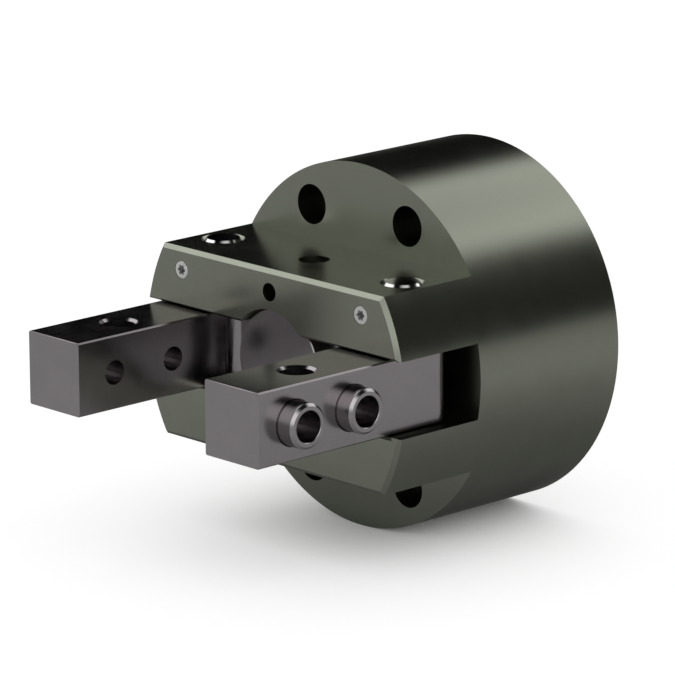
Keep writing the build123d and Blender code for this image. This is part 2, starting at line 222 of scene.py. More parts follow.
def select_parts(
    piece: Piece,
    wanted: Callable[[bmesh.types.BMFace | bmesh.types.BMEdge], bool],
    edges: bool = False,
) -> None:
    """Select faces or edges of a piece in edit mode.

    Args:
        piece: The object in edit mode.
        wanted: Test that says whether a face or an edge is selected.
        edges: True to test edges, False to test faces.
    """
    bpy.ops.mesh.select_mode(type="EDGE" if edges else "FACE")
    bpy.ops.mesh.select_all(action="DESELECT")
    shape = bmesh.from_edit_mesh(piece.data)
    for part in shape.edges if edges else shape.faces:
        if wanted(part):
            part.select_set(True)
    shape.select_flush_mode()
    bmesh.update_edit_mesh(piece.data)


def combine(piece: Piece, tool: Piece, machining: Machining) -> None:
    """Join a piece with a tool body, or cut it by one, and delete the tool body.

    Args:
        piece: The object that is changed.
        tool: A closed object.
        machining: What the tool body does.
    """
    modifier = piece.modifiers.new("machining", "BOOLEAN")
    modifier.operation = machining.value
    modifier.solver = "MANIFOLD"
    modifier.object = tool
    pick(piece)
    bpy.ops.object.modifier_apply(modifier=modifier.name)
    bpy.data.objects.remove(tool, do_unlink=True)


def cut(piece: Piece, *tools: Piece) -> None:
    """Subtract each closed tool body from a piece."""
    for tool in tools:
        combine(piece, tool, Machining.CUT)


def flare(tool: Piece, chamfer: float) -> None:
    """Widen the front end of a box by a chamfer, and on beyond it at the same slope.

    Args:
        tool: A box whose front face looks along -Y.
        chamfer: Length of the chamfer and what it adds to each edge, in millimetres.
    """
    pick(tool)
    bpy.ops.object.mode_set(mode="EDIT")
    select_parts(tool, lambda face: round(face.normal.y) < 0)
    heights = [corner[2] for corner in tool.bound_box]
    half = (max(heights) - min(heights)) / 2
    middle = Vector((0.0, 0.0, (max(heights) + min(heights)) / 2))
    for step in (chamfer * MM, PAST * MM):
        bpy.ops.mesh.extrude_region_move(TRANSFORM_OT_translate={"value": (0, -step, 0)})
        wider = (1.0, 1.0, (half + step) / half)
        bpy.ops.transform.resize(value=wider, center_override=middle)
        half += step
    bpy.ops.object.mode_set(mode="OBJECT")


def stepped(start: float, *steps: Pair) -> list[Pair]:
    """Profile of a bore with straight steps.

    Args:
        start: Distance at which the first step starts.
        steps: Distance of the end and radius of each step.

    Returns:
        The profile, with two points for each step.
    """
    profile = []
    for end, radius in steps:
        profile += [(start, radius), (end, radius)]
        start = end
    return profile


def rod(
    name: str, direction: Direction, foot: Vector, span: Pair, radius: float, sides: int = 96
) -> Piece:
    """Straight cylinder, as a cutter or a post.

    Args:
        name: Name of the new object.
        direction: Axis of the cylinder.
        foot: Point on that axis, in metres, from which the distances count.
        span: Distances of both ends, in millimetres.
        radius: Radius, in millimetres.
        sides: Number of sides.

    Returns:
        The cylinder.
    """
    start, end = span
    return turned(name, direction, foot, stepped(start, (end, radius)), sides=sides)


def countersink(name: str, foot: Vector, half: float, radius: float, chamfer: float) -> Piece:
    """Cutter for an upright hole through a wall, with a chamfer at both ends.

    Args:
        name: Name of the new object.
        foot: Middle of the hole, in metres.
        half: Half of the wall, in millimetres.
        radius: Radius of the hole.
        chamfer: Width of both chamfers.

    Returns:
        The cutter.
    """
    straight = half - chamfer
    wide = radius + chamfer + PAST
    profile = ((-half - PAST, wide), (-straight, radius), (straight, radius), (half + PAST, wide))
    return turned(name, Direction.UP, foot, profile, sides=128)


def doubled(piece: Piece, offset: Vector) -> Piece:
    """Copy a piece, move the copy and join both into one object.

    Args:
        piece: The piece, which becomes the joined object.
        offset: Way from the piece to its copy, in metres.

    Returns:
        The joined object.
    """
    second = piece.copy()
    second.data = piece.data.copy()
    bpy.context.collection.objects.link(second)
    second.location = offset
    pick(second)
    bpy.ops.object.transform_apply(location=True, rotation=True, scale=True)
    piece.select_set(True)
    bpy.context.view_layer.objects.active = piece
    bpy.ops.object.join()
    return piece


def bumper_seat(start: float, end: float) -> Piece:
    """Ring-shaped cutter for the seat of a bumper.

    Args:
        start: Smaller depth, in millimetres.
        end: Larger depth, in millimetres.

    Returns:
        The cutter.
    """
    inner, outer = BUMPER_SEAT_RADII
    profile = ((start, inner), (end, inner), (end, outer), (start, outer))
    return turned("bumper_seat", Direction.FORWARD, Vector(), profile, ring=True)


def heading(azimuth: float, elevation: float) -> tuple[Vector, Vector, Vector]:
    """Unit vectors of a direction and of the two that are square to it.

    Args:
        azimuth: Angle to the right of the gripper's front, in degrees.
        elevation: Angle above the floor, in degrees.

    Returns:
        The direction, the level vector square to it, and the vector square to both.
    """
    across = math.radians(azimuth)
    above = math.radians(elevation)
    ahead = Vector(
        (
            math.sin(across) * math.cos(above),
            -math.cos(across) * math.cos(above),
            math.sin(above),
        )
    )
    level = Vector((math.cos(across), math.sin(across), 0.0))
    return ahead, level, ahead.cross(level)


def finish_mesh(piece: Piece, smooth_degrees: float = 25.0) -> None:
    """Merge doubled points, turn the faces outwards and smooth all but the real edges.

    Args:
        piece: The object to finish.
        smooth_degrees: Faces that meet at less than this angle are shaded as one surface.
    """
    pick(piece)
    bpy.ops.object.mode_set(mode="EDIT")
    bpy.ops.mesh.select_mode(type="VERT")
    bpy.ops.mesh.select_all(action="SELECT")
    bpy.ops.mesh.remove_doubles(threshold=MERGED * MM)
    bpy.ops.mesh.dissolve_degenerate(threshold=SLIVER * MM)
    bpy.ops.mesh.normals_make_consistent(inside=False)
    bpy.ops.object.mode_set(mode="OBJECT")
    bpy.ops.object.shade_smooth_by_angle(angle=math.radians(smooth_degrees))


def hand_over(
    piece: Piece,
    body: str,
    nodes: Sequence[str],
    material: Material,
) -> None:
    """Give a finished piece its material and its place in the frame.

    Args:
        piece: The finished object.
        body: Body that it rides on.
        nodes: CAD nodes that it stands for.
        material: Its material.
    """
    piece.data.materials.clear()
    piece.data.materials.append(material)
    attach(piece, body)
    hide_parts(*nodes)
    log.info("%s: %d faces on %s", piece.name, len(piece.data.polygons), body)


class Bench:
    """Short calls that add and join the nodes of one material or of the world.

    Attributes:
        owner: The material or the world.
        tree: Its nodes.
    """

    def __init__(self, name: str = "", world: bpy.types.World | None = None) -> None:
        """Start an empty material, or empty the world's nodes.

        Args:
            name: Name of the material.
            world: The world, where the nodes are for it.
        """
        self.owner = world or bpy.data.materials.new(name)
        self.owner.use_nodes = True
        self.tree = self.owner.node_tree
        self.tree.nodes.clear()

    def add(self, kind: str, inputs: dict | None = None, **settings: object) -> bpy.types.Node:
        """Add a node.

        Args:
            kind: Type of the node, without its ShaderNode prefix.
            inputs: Value or output socket for each named or numbered input.
            settings: Properties of the node.

        Returns:
            The new node.
        """
        node = self.tree.nodes.new("ShaderNode" + kind)
        for key, value in settings.items():
            setattr(node, key, value)
        for key, value in (inputs or {}).items():
            if isinstance(value, Socket):
                self.tree.links.new(value, node.inputs[key])
            else:
                node.inputs[key].default_value = value
        return node

    def math(self, operation: str, first: object, second: object = 0.0) -> Socket:
        """Output of a math node of two inputs."""
        return self.add("Math", {0: first, 1: second}, operation=operation).outputs[0]

    def scaled(self, vector: object, scale: object) -> Socket:
        """Output of a vector times a number."""
        return self.add("VectorMath", {0: vector, "Scale": scale}, operation="SCALE").outputs[0]

    def product(self, first: object, second: object) -> Socket:
        """Output of two vectors multiplied part by part."""
        return self.add("VectorMath", {0: first, 1: second}, operation="MULTIPLY").outputs[0]

    def noise(self, vector: object, scale: float, detail: float) -> Socket:
        """Output of a noise texture."""
        return self.add("TexNoise", {"Vector": vector, "Scale": scale, "Detail": detail}).outputs[0]

    def dot(self, first: object, second: object) -> Socket:
        """Output of the dot product of two vectors."""
        return self.add("VectorMath", {0: first, 1: second}, operation="DOT_PRODUCT").outputs["Value"]

    def spread(
        self,
        value: object,
        low: float,
        high: float,
        start: float,
        end: float,
        smooth: bool = False,
    ) -> Socket:
        """Map low..high to start..end and hold the value at both ends.

        Args:
            value: Socket that is mapped.
            low: Value that gives start.
            high: Value that gives end.
            start: Result at low.
            end: Result at high.
            smooth: True to ease in and out between the ends.

        Returns:
            Output socket of the result.
        """
        kind = "SMOOTHSTEP" if smooth else "LINEAR"
        values = {0: value, 1: low, 2: high, 3: start, 4: end}
        return self.add("MapRange", values, interpolation_type=kind).outputs[0]

    def vary(self, noise: object, middle: float, reach: float) -> Socket:
        """Value that follows a noise, up to the reach on both sides of its middle."""
        return self.spread(noise, NOISE_LOW, NOISE_HIGH, middle - reach, middle + reach)


@dataclass(frozen=True)
class Finish:
    """One surface finish, which makes one procedural material."""

    name: str
    colour: tuple[float, float, float]
    roughness: float
    marks: Marks
    metallic: float = 1.0
    mark_width: float = 0.16
    mark_length: float = 9.6
    mark_height: float = 0.0010
    grain_width: float = 0.09
    grain_height: float = 0.0006
    cloud_scale: float = 0.22
    speck_scale: float = 2.5
    mottle: float = 0.05
    roughness_spread: float = 0.03
    edge_colour: tuple[float, float, float] = (0.62, 0.62, 0.60)
    edge_share: float = 0.20
    edge_width: float = 0.12
    edge_start: float = 0.995
    edge_full: float = 0.85
    worn_specks: Pair = (0.35, 0.6)
    least_wear: float = 0.3
    square_on: float = 0.7
    grazing: float = 0.7

    def _marks(self, bench: Bench, place: Socket) -> Socket:
        """Height of the tool marks.

        Args:
            bench: Nodes of the material being made.
            place: Object coordinates in millimetres.

        Returns:
            Output socket with a height from 0 to 1.
        """
        fine = 1.0 / self.mark_width
        slow = 1.0 / self.mark_length
        stretch = {
            Marks.TURNED: (slow, fine, slow),
            Marks.GROUND: (fine, slow, fine),
            Marks.RINGED_ACROSS: (fine, slow, slow),
            Marks.RINGED_UP: (slow, slow, fine),
            Marks.GRAINED: (fine, fine, fine),
        }[self.marks]
        lines = bench.noise(bench.product(place, stretch), 1.0, 2.0)
        if self.marks is not Marks.TURNED:
            return lines
        flat = bench.product(place, (1.0, 0.0, 1.0))
        radius = bench.add("VectorMath", {0: flat}, operation="LENGTH").outputs["Value"]
        spot = bench.add("CombineXYZ", {0: bench.math("MULTIPLY", radius, fine)}).outputs[0]
        rings = bench.noise(spot, 1.0, 2.0)
        normal = bench.add("NewGeometry").outputs["True Normal"]
        ahead = bench.add("SeparateXYZ", {0: normal}).outputs[1]
        facing = bench.math("GREATER_THAN", bench.math("ABSOLUTE", ahead), self.square_on)
        mix = bench.add("Mix", {0: facing, 2: lines, 3: rings}, data_type="FLOAT")
        return mix.outputs[0]

    def make(self) -> Material:
        """Make the material.

        Returns:
            The material, with colour variation, edge wear, uneven roughness and bump.
        """
        bench = Bench(self.name)
        place = bench.scaled(bench.add("TexCoord").outputs["Object"], 1.0 / MM)

        clouds = bench.noise(place, self.cloud_scale, 3.0)
        specks = bench.noise(place, self.speck_scale, 2.0)
        cloudy = bench.vary(clouds, 1.0, self.mottle)
        speckled = bench.vary(specks, 1.0, self.mottle / 2)
        ground = bench.scaled(self.colour, bench.math("MULTIPLY", cloudy, speckled))

        rounded = bench.add("Bevel", {"Radius": self.edge_width * MM}, samples=4).outputs[0]
        true_normal = bench.add("NewGeometry").outputs["Normal"]
        same = bench.dot(rounded, true_normal)
        edge = bench.spread(same, self.edge_start, self.edge_full, 0.0, 1.0)
        patches = bench.spread(specks, *self.worn_specks, self.least_wear, 1.0)
        worn = bench.math("MULTIPLY", bench.math("MULTIPLY", edge, patches), self.edge_share)
        colour = bench.add(
            "Mix", {0: worn, 6: ground, 7: (*self.edge_colour, 1.0)}, data_type="RGBA"
        ).outputs[2]

        rough = bench.vary(clouds, self.roughness, self.roughness_spread)
        grain = bench.noise(bench.scaled(place, 1.0 / self.grain_width), 1.0, 1.0)
        height = {"Height": self._marks(bench, place), "Distance": self.mark_height * MM}
        marked = bench.add("Bump", {"Strength": 1.0, **height}).outputs[0]
        height = {"Height": grain, "Distance": self.grain_height * MM, "Normal": marked}
        grained = bench.add("Bump", {"Strength": 1.0, **height}).outputs[0]
        shader = bench.add(
            "BsdfPrincipled",
            {
                "Base Color": colour,
                "Metallic": self.metallic,
                "Roughness": rough,
                "Specular Tint": (self.grazing, self.grazing, self.grazing, 1.0),
                "Normal": grained,
            },
        ).outputs[0]
        bench.add("OutputMaterial", {"Surface": shader})
        return bench.owner


ANODISED = Finish(
    "anodised_housing",
    (0.285, 0.300, 0.247),
    0.24,
    Marks.TURNED,
    mark_height=0.0004,
    grain_height=0.0003,
    mottle=0.03,
    roughness_spread=0.015,
    grazing=0.64,
)
COVER = Finish("cover_aluminium", (0.285, 0.300, 0.247), 0.20, Marks.TURNED, mark_height=0.001)
JAW_STEEL = Finish(
    "jaw_steel",
    (0.355, 0.333, 0.342),
    0.205,
    Marks.GROUND,
    mark_height=0.0006,
    grain_height=0.0004,
    mottle=0.035,
)
PLUNGER_STEEL = Finish("plunger_steel", (0.390, 0.375, 0.380), 0.20, Marks.TURNED)
SLEEVE_STEEL = Finish(
    "sleeve_steel",
    (0.370, 0.352, 0.356),
    0.20,
    Marks.RINGED_ACROSS,
    mark_height=0.0005,
    grain_height=0.0003,
)
PIN_STEEL = Finish("pin_steel", (0.780, 0.775, 0.765), 0.14, Marks.RINGED_UP)
SCREW_STEEL = Finish("screw_steel", (0.860, 0.860, 0.855), 0.28, Marks.GRAINED, metallic=0.7)
SPRING_STEEL = Finish("spring_steel", (0.160, 0.158, 0.152), 0.35, Marks.GRAINED)
BARE_ALUMINIUM = Finish("piston_aluminium", (0.800, 0.800, 0.790), 0.28, Marks.TURNED)
RUBBER = Finish(
    "seal_rubber", (0.018, 0.018, 0.019), 0.55, Marks.GRAINED, metallic=0.0, edge_share=0.1
)
BUMPER = Finish(
    "bumper_rubber", (0.240, 0.115, 0.045), 0.45, Marks.GRAINED, metallic=0.0, edge_share=0.1
)
GUIDE = Finish(
    "guide_plastic", (0.160, 0.230, 0.180), 0.50, Marks.GRAINED, metallic=0.0, edge_share=0.1
)
BRONZE = Finish("bushing_bronze", (0.480, 0.330, 0.150), 0.38, Marks.GRAINED)


@dataclass
class Housing:
    """Flange and slotted block in one piece, with all its bores and holes."""

    radius: float = 25.0
    length: float = 40.3
    flange_length: float = 24.0
    half_height: float = 13.25
    half_slot: float = 5.15
    slot_depth: float = 26.0
    head_bore_radius: float = 7.8
    head_bore_step: float = 0.004
    front_chamfer: float = 0.55
    slot_chamfer: float = 0.35
    rear_edge: float = 0.12
    screw_x: float = 9.2
    screw_z: float = 17.9045
    screw_hole_radius: float = 2.75
    locating_z: float = 20.0
    locating_radius: float = 2.0
    locating_length: float = 5.0
    pivot_x: float = PIVOT_X
    pivot_depth: float = PIVOT_DEPTH
    pin_hole_radius: float = 2.51
    pin_hole_chamfer: float = 0.45
    clamp_z: float = CLAMP_Z
    clamp_radius: float = 1.52
    clamp_mouth_radius: float = 1.26
    clamp_mouth_length: float = 0.32
    sensor_depth: float = 32.2
    sensor_radius: float = 2.1
    sensor_clamp_radius: float = 1.25
    ring_groove: Pair = (0.8, 2.1)
    ring_groove_radius: float = 15.6
    cover_bore_radius: float = 15.0
    cover_bore_end: float = 6.5
    cylinder_radius: float = 14.0
    cylinder_end: float = 19.5
    rod_bore_radius: float = 4.08
    rod_seal_groove: Pair = (20.6, 22.2)
    rod_seal_radius: float = 5.22
    bushing_depth: float = 22.6
    bushing_radius: float = 5.05
    port_depths: Pair = (7.5, 18.5)
    port_face_x: float = 24.5
    port_face_radius: float = 4.25
    port_end_x: float = 19.0
    port_thread_radius: float = 2.5
    port_core_radius: float = 2.2
    port_thread_pitch: float = 0.8
    port_thread_steps: int = 13
    port_channel_radius: float = 0.8
    port_channel_end_x: float = 12.4

    def _blank(self) -> Piece:
        """Turn the blank of the whole housing, with its front chamfer.

        Returns:
            The blank.
        """
        return turned(
            "gripper_housing",
            Direction.FORWARD,
            Vector(),
            (
                (0.0, self.radius - self.rear_edge),
                (self.rear_edge, self.radius),
                (self.length - self.front_chamfer, self.radius),
                (self.length, self.radius - self.front_chamfer),
            ),
            sides=360,
        )

    def _mill_block(self, piece: Piece) -> None:
        """Mill both flats and the slot, each with its chamfer at the front.

        Args:
            piece: The housing.
        """
        reach = self.radius + 2 * PAST
        for start, chamfer, low, high in (
            (self.flange_length, self.front_chamfer, -reach, -self.half_height),
            (self.flange_length, self.front_chamfer, self.half_height, reach),
            (self.slot_depth, self.slot_chamfer, -self.half_slot, self.half_slot),
        ):
            back = Vector((-reach, chamfer - self.length, low)) * MM
            tool = block("mill", back, Vector((reach, -start, high)) * MM)
            flare(tool, chamfer)
            cut(piece, tool)

    def _bore_inside(self, piece: Piece) -> None:
        """Bore the head's guide from the front, and the cylinder and its steps from the rear.

        Args:
            piece: The housing.
        """
        forward = Direction.FORWARD
        guide = (self.slot_depth + self.head_bore_step, self.length + PAST)
        cut(piece, rod("head_bore", forward, Vector(), guide, self.head_bore_radius, 256))
        profile = stepped(
            -PAST,
            (self.ring_groove[0], self.cover_bore_radius),
            (self.ring_groove[1], self.ring_groove_radius),
            (self.cover_bore_end, self.cover_bore_radius),
            (self.cylinder_end, self.cylinder_radius),
            (self.rod_seal_groove[0], self.rod_bore_radius),
            (self.rod_seal_groove[1], self.rod_seal_radius),
            (self.bushing_depth, self.rod_bore_radius),
            (self.slot_depth + PAST / 2, self.bushing_radius),
        )
        cut(piece, turned("stepped_bore", forward, Vector(), profile, sides=192))
        floor = self.cylinder_end
        cut(piece, bumper_seat(floor - PAST / 2, floor + BUMPER_SEAT_LENGTH))

    def _drill(self, piece: Piece) -> None:
        """Drill the mounting, locating, pin, sensor and clamp holes.

        Args:
            piece: The housing.
        """
        forward = Direction.FORWARD
        through = (-PAST, self.flange_length + 1.5 * PAST)
        for x in (-self.screw_x, self.screw_x):
            for z in (-self.screw_z, self.screw_z):
                foot = point(x, 0, z)
                cut(piece, rod("screw_hole", forward, foot, through, self.screw_hole_radius))
        blind = (-PAST, self.locating_length)
        for z in (-self.locating_z, self.locating_z):
            foot = point(0, 0, z)
            cut(piece, rod("locating_hole", forward, foot, blind, self.locating_radius))
        lip = self.length - self.clamp_mouth_length
        mouth = (self.length + PAST, self.clamp_mouth_radius)
        clamp = stepped(self.pivot_depth, (lip, self.clamp_radius), mouth)
        for x in (-self.pivot_x, self.pivot_x):
            foot = point(x, self.pivot_depth, 0)
            pin_hole = (self.half_height, self.pin_hole_radius, self.pin_hole_chamfer)
            cut(piece, countersink("pin_hole", foot, *pin_hole))
            foot = point(x, 0, self.clamp_z)
            cut(piece, turned("clamp_hole", forward, foot, clamp, sides=64))
        foot = point(0, self.sensor_depth, 0)
        upwards = (0.0, self.half_height + PAST)
        cut(piece, rod("sensor_bore", Direction.UP, foot, upwards, self.sensor_radius))
        foot = point(0, 0, self.clamp_z)
        lock = (self.sensor_depth, self.length + PAST)
        cut(piece, rod("sensor_clamp", forward, foot, lock, self.sensor_clamp_radius, 64))

    def _open_ports(self, piece: Piece) -> None:
        """Sink both air ports, with a spot face, rings of thread and a narrow channel.

        Args:
            piece: The housing.
        """
        radii = (self.port_thread_radius, self.port_core_radius)
        thread = [
            (self.port_thread_pitch / 2 * (step + 1) - self.port_face_x, radii[step % 2])
            for step in range(self.port_thread_steps)
        ]
        profile = (
            (-self.radius - PAST, self.port_face_radius),
            (-self.port_face_x, self.port_face_radius),
            (-self.port_face_x, self.port_thread_radius),
            *thread,
            (-self.port_end_x, self.port_thread_radius),
            (-self.port_end_x, self.port_channel_radius),
            (-self.port_channel_end_x, self.port_channel_radius),
        )
        for depth in self.port_depths:
            cut(piece, turned("port", Direction.ACROSS, point(0, depth, 0), profile))

    def build(self) -> None:
        """Model and dress the housing."""
        piece = self._blank()
        self._mill_block(piece)
        self._bore_inside(piece)
        self._drill(piece)
        self._open_ports(piece)
        finish_mesh(piece)
        hand_over(piece, "housing_body", ["housing"], ANODISED.make())


@dataclass
class Jaw:
    """One jaw: a square finger, its tail on the pivot pin and the lever to the plunger."""

    side: int
    side_name: str
    material: Material
    sleeve_material: Material
    pivot_x: float = PIVOT_X
    pivot_depth: float = PIVOT_DEPTH
    half_width: float = 5.0
    half_height: float = 5.0
    trim_half_height: float = 6.0
    post_half_height: float = 7.0
    tip_depth: float = 62.8
    tail_depth: float = 28.7
    edge_chamfer: float = 0.2
    tip_edge: float = 0.06
    tail_radius: float = 2.5
    nose_x: float = 6.6
    nose_radius: float = 3.0
    half_lever: float = 2.45
    blend_radius: float = 2.0
    root_depth: float = 39.35
    pin_hole_radius: float = 2.53
    cross_depth: float = 51.5
    cross_radius: float = 2.25
    cross_chamfer: float = 0.35
    tool_depths: Pair = (46.4, 56.6)
    thread_radius: float = 1.65
    seat_radius: float = 3.01
    seat_length: float = 2.3
    seat_chamfer: float = 0.16
    sleeve_radius: float = 3.0
    sleeve_bore: float = 2.1
    stand_out: float = 2.7
    sleeve_chamfer: float = 0.35
    sleeve_mouth: float = 0.06

    @property
    def inner(self) -> float:
        """Place across of the finger's inner side, away from the middle plane."""
        return self.pivot_x - self.half_width

    @property
    def outer(self) -> float:
        """Place across of the finger's outer side, away from the middle plane."""
        return self.pivot_x + self.half_width

    def _span(self, name: str, x: Pair, depth: Pair, half: float) -> Piece:
        """Box between two places across and two depths.

        Args:
            name: Name of the new object.
            x: Nearer and farther place across, measured away from the middle plane.
            depth: Smaller and larger depth.
            half: Half of its height.

        Returns:
            The box.
        """
        places = sorted((self.side * x[0], self.side * x[1]))
        low = Vector((places[0], -depth[1], -half)) * MM
        high = Vector((places[1], -depth[0], half)) * MM
        return block(name, low, high)

    def _post(self, name: str, x: float, depth: float, radius: float) -> Piece:
        """Round cutter along the pin direction.

        Args:
            name: Name of the new object.
            x: Place across, measured away from the middle plane.
            depth: Depth of its axis.
            radius: Its radius.

        Returns:
            The cutter, which is higher than the jaw.
        """
        ends = (-self.post_half_height, self.post_half_height)
        return rod(name, Direction.UP, point(self.side * x, depth, 0), ends, radius, 160)

    def _finger(self) -> Piece:
        """Model the square finger, its edges broken and its outer tail corner rounded.

        Returns:
            The finger.
        """
        length = (self.tail_depth, self.tip_depth)
        name = f"jaw_{self.side_name}_steel"
        piece = self._span(name, (self.inner, self.outer), length, self.half_height)
        pick(piece)
        bpy.ops.object.mode_set(mode="EDIT")
        select_parts(
            piece,
            lambda edge: abs(edge.verts[0].co.y - edge.verts[1].co.y) > self.half_width * MM,
            edges=True,
        )
        bpy.ops.mesh.bevel(offset=self.edge_chamfer * MM, segments=1, affect="EDGES")
        tip = -self.tip_depth * MM
        select_parts(
            piece,
            lambda edge: all(abs(vert.co.y - tip) < NEAR * MM for vert in edge.verts),
            edges=True,
        )
        bpy.ops.mesh.bevel(offset=self.tip_edge * MM, segments=2, affect="EDGES")
        bpy.ops.object.mode_set(mode="OBJECT")
        middle_x = self.outer - self.tail_radius
        middle_depth = self.tail_depth + self.tail_radius
        depth = (self.tail_depth - PAST, middle_depth)
        corner = self._span("corner", (middle_x, self.outer + PAST), depth, self.trim_half_height)
        cut(corner, self._post("rounding", middle_x, middle_depth, self.tail_radius))
        cut(piece, corner)
        return piece

    def _lever(self) -> Piece:
        """Model the lever with its round nose and the hollow blend to the finger.

        Returns:
            The lever.
        """
        front = self.pivot_depth + self.half_lever
        hollow_x = self.inner - self.blend_radius
        hollow_depth = front + self.blend_radius
        depth = (self.pivot_depth - self.half_lever, front)
        piece = self._span("lever", (self.nose_x, self.pivot_x), depth, self.half_height)
        depth = (front - PAST, self.root_depth)
        root = self._span("lever_root", (hollow_x, self.pivot_x), depth, self.half_height)
        depth = (hollow_depth, self.root_depth + PAST)
        trim = self._span("trim", (hollow_x - PAST, self.inner), depth, self.trim_half_height)
        cut(root, trim, self._post("blend", hollow_x, hollow_depth, self.blend_radius))
        combine(piece, root, Machining.JOIN)
        ends = (-self.half_height, self.half_height)
        foot = point(self.side * self.nose_x, self.pivot_depth, 0)
        combine(piece, rod("nose", Direction.UP, foot, ends, self.nose_radius, 160), Machining.JOIN)
        return piece

    def _drill(self, piece: Piece) -> None:
        """Bore the pivot hole, the cross hole and the tool holes with their sleeve seats.

        Args:
            piece: The jaw.
        """
        cut(piece, self._post("pivot_hole", self.pivot_x, self.pivot_depth, self.pin_hole_radius))
        foot = point(self.side * self.pivot_x, self.cross_depth, 0)
        cross = (self.half_height, self.cross_radius, self.cross_chamfer)
        cut(piece, countersink("cross_hole", foot, *cross))
        seat = self.outer - self.seat_length
        tool = (
            (self.side * (self.inner - PAST), self.thread_radius),
            (self.side * seat, self.thread_radius),
            (self.side * seat, self.seat_radius),
            (self.side * (self.outer - self.seat_chamfer), self.seat_radius),
            (self.side * (self.outer + PAST), self.seat_radius + self.seat_chamfer + PAST),
        )
        for depth in self.tool_depths:
            cut(piece, turned("tool_hole", Direction.ACROSS, point(0, depth, 0), tool, sides=128))

    def _sleeves(self) -> Piece:
        """Model one centring sleeve and copy it.

        Returns:
            Both sleeves as one piece.
        """
        start = self.outer - self.seat_length
        end = self.outer + self.stand_out
        narrow = self.sleeve_radius - self.sleeve_chamfer
        profile = (
            (start, self.sleeve_bore),
            (start, narrow),
            (start + self.sleeve_chamfer, self.sleeve_radius),
            (end - self.sleeve_chamfer, self.sleeve_radius),
            (end, narrow),
            (end, self.sleeve_bore + self.sleeve_mouth),
            (end - self.sleeve_mouth, self.sleeve_bore),
        )
        first = turned(
            f"centring_sleeves_{self.side_name}",
            Direction.ACROSS,
            point(0, self.tool_depths[0], 0),
            [(self.side * distance, radius) for distance, radius in profile],
            sides=160,
            ring=True,
        )
        return doubled(first, point(0, self.tool_depths[1] - self.tool_depths[0], 0))

    def build(self) -> None:
        """Model and dress the jaw and its sleeves."""
        piece = self._finger()
        combine(piece, self._lever(), Machining.JOIN)
        self._drill(piece)
        finish_mesh(piece, smooth_degrees=20.0)
        body = f"jaw_{self.side_name}_body"
        hand_over(piece, body, [f"jaw_{self.side_name}"], self.material)
        sleeves = self._sleeves()
        finish_mesh(sleeves)
        nodes = [f"sleeves_{self.side_name}"]
        hand_over(sleeves, body, nodes, self.sleeve_material)


@dataclass
class Plunger:
    """Rod with a grooved head at its front and the spigot for the piston at its rear."""

    spigot: Pair = (10.85, 3.0)
    rod: Pair = (15.25, 4.0)
    head: Pair = (26.9, 7.6)
    neck: Pair = (29.64, 3.2)
    front_disc: Pair = (35.76, 7.6)
    front: float = 38.8
    chamfer: float = 0.3
    front_chamfer: float = 0.12
    thread_radius: float = 2.02
    thread_length: float = 9.02

    def build(self) -> None:
        """Model and dress the plunger."""
        wide = self.head[1]
        narrow = wide - self.chamfer
        profile = (
            self.spigot,
            (self.rod[0], self.spigot[1]),
            self.rod,
            (self.head[0], self.rod[1]),
            (self.head[0], narrow),
            (self.head[0] + self.chamfer, wide),
            (self.neck[0] - self.chamfer, wide),
            (self.neck[0], narrow),
            self.neck,
            (self.front_disc[0], self.neck[1]),
            (self.front_disc[0], narrow),
            (self.front_disc[0] + self.chamfer, wide),
            (self.front - self.front_chamfer, wide),
            (self.front, wide - self.front_chamfer),
        )
        piece = turned("plunger_rod_and_head", Direction.FORWARD, Vector(), profile, sides=256)
        bore = (self.spigot[0] - PAST, self.spigot[0] + self.thread_length)
        radius = self.thread_radius
        cut(piece, rod("thread_bore", Direction.FORWARD, Vector(), bore, radius, 64))
        finish_mesh(piece)
        hand_over(piece, "plunger_body", ["plunger"], PLUNGER_STEEL.make())


@dataclass
class PivotPins:
    """Two ground pins with steep chamfers at their ends."""

    x: float = PIVOT_X
    depth: float = PIVOT_DEPTH
    radius: float = 2.5
    half_length: float = 13.42
    half_straight: float = 13.0
    end_radius: float = 2.22

    def build(self) -> None:
        """Model and dress both pins as one piece."""
        profile = (
            (-self.half_length, self.end_radius),
            (-self.half_straight, self.radius),
            (self.half_straight, self.radius),
            (self.half_length, self.end_radius),
        )
        foot = point(-self.x, self.depth, 0)
        first = turned("pivot_pin_pair", Direction.UP, foot, profile, sides=128)
        pins = doubled(first, point(2 * self.x, 0, 0))
        finish_mesh(pins)
        hand_over(pins, "housing_body", ["pivot_pins"], PIN_STEEL.make())


